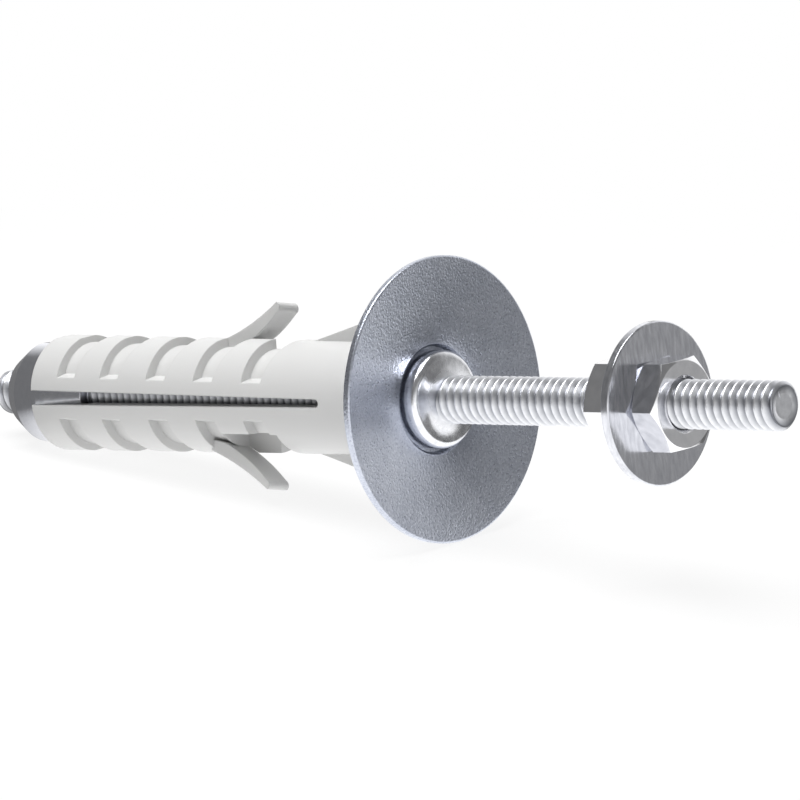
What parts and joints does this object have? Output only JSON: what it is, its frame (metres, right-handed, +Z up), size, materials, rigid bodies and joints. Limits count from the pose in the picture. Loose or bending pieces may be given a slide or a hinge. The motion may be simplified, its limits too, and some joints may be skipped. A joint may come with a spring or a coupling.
{
  "type": "wall plug with threaded stud",
  "caption": "Expanding plastic wall plug with a cone nut, a double-ended threaded stud with a collar, a dished wall disc, and a plain washer clamped between hexagon nuts.",
  "frame": {"origin": "under the middle of the whole object, on the ground that it lies on", "axes": "+X along the stud's free end as seen from above, +Z up; the stud axis rises 8.8 degrees toward +X, and -Y is the side that shows the slit of the sleeve"},
  "size_m": [0.1378, 0.0376, 0.0373],
  "materials": {
    "sleeve": "moulded nylon, satin, neutral light grey",
    "cone_nut": "zinc-plated turned steel, bright",
    "stud": "zinc-plated steel with rolled thread",
    "wall_disc": "zinc-plated pressed steel, fine mottled satin",
    "nuts": "zinc-plated steel, bright",
    "plain_washer": "zinc-plated steel, bright"
  },
  "bodies": {
    "sleeve": {"sleeve": "sleeve"},
    "cone_nut": {"cone_nut": "cone_nut"},
    "stud": {"stud": "stud"},
    "wall_disc": {"wall_disc": "wall_disc"},
    "plain_washer": {"plain_washer": "plain_washer"},
    "rear_nut": {"rear_nut": "nuts"},
    "front_nut": {"front_nut": "nuts"}
  },
  "joints": [
    {"name": "stud_turn", "type": "hinge", "parent": "sleeve", "child": "stud", "pos_m": [0.01013, 0, 0.01825], "axis": [0.988, 0, 0.1543], "range_deg": [0, 1260]},
    {"name": "cone_nut_travel", "type": "slide", "parent": "sleeve", "child": "cone_nut", "axis": [-0.988, 0, -0.1543], "range_m": [0, 0.00444]},
    {"name": "wall_disc_turn", "type": "hinge", "parent": "sleeve", "child": "wall_disc", "pos_m": [0.01013, 0, 0.01825], "axis": [0.988, 0, 0.1543], "continuous": true},
    {"name": "washer_travel", "type": "slide", "parent": "stud", "child": "plain_washer", "axis": [0.988, 0, 0.1543], "range_m": [-0.0275, 0.0153]},
    {"name": "front_nut_turn", "type": "hinge", "parent": "plain_washer", "child": "front_nut", "pos_m": [0.04891, 0, 0.02431], "axis": [0.988, 0, 0.1543], "range_deg": [-7800, 4340]},
    {"name": "rear_nut_turn", "type": "hinge", "parent": "plain_washer", "child": "rear_nut", "pos_m": [0.04767, 0, 0.02412], "axis": [0.988, 0, 0.1543], "range_deg": [-7800, 4340]}
  ],
  "couplings": [
    {"joint": "stud_turn", "follows": "cone_nut_travel", "rad_per_m": 4947.4},
    {"joint": "front_nut_turn", "follows": "washer_travel", "rad_per_m": 4947.4},
    {"joint": "rear_nut_turn", "follows": "washer_travel", "rad_per_m": 4947.4}
  ]
}
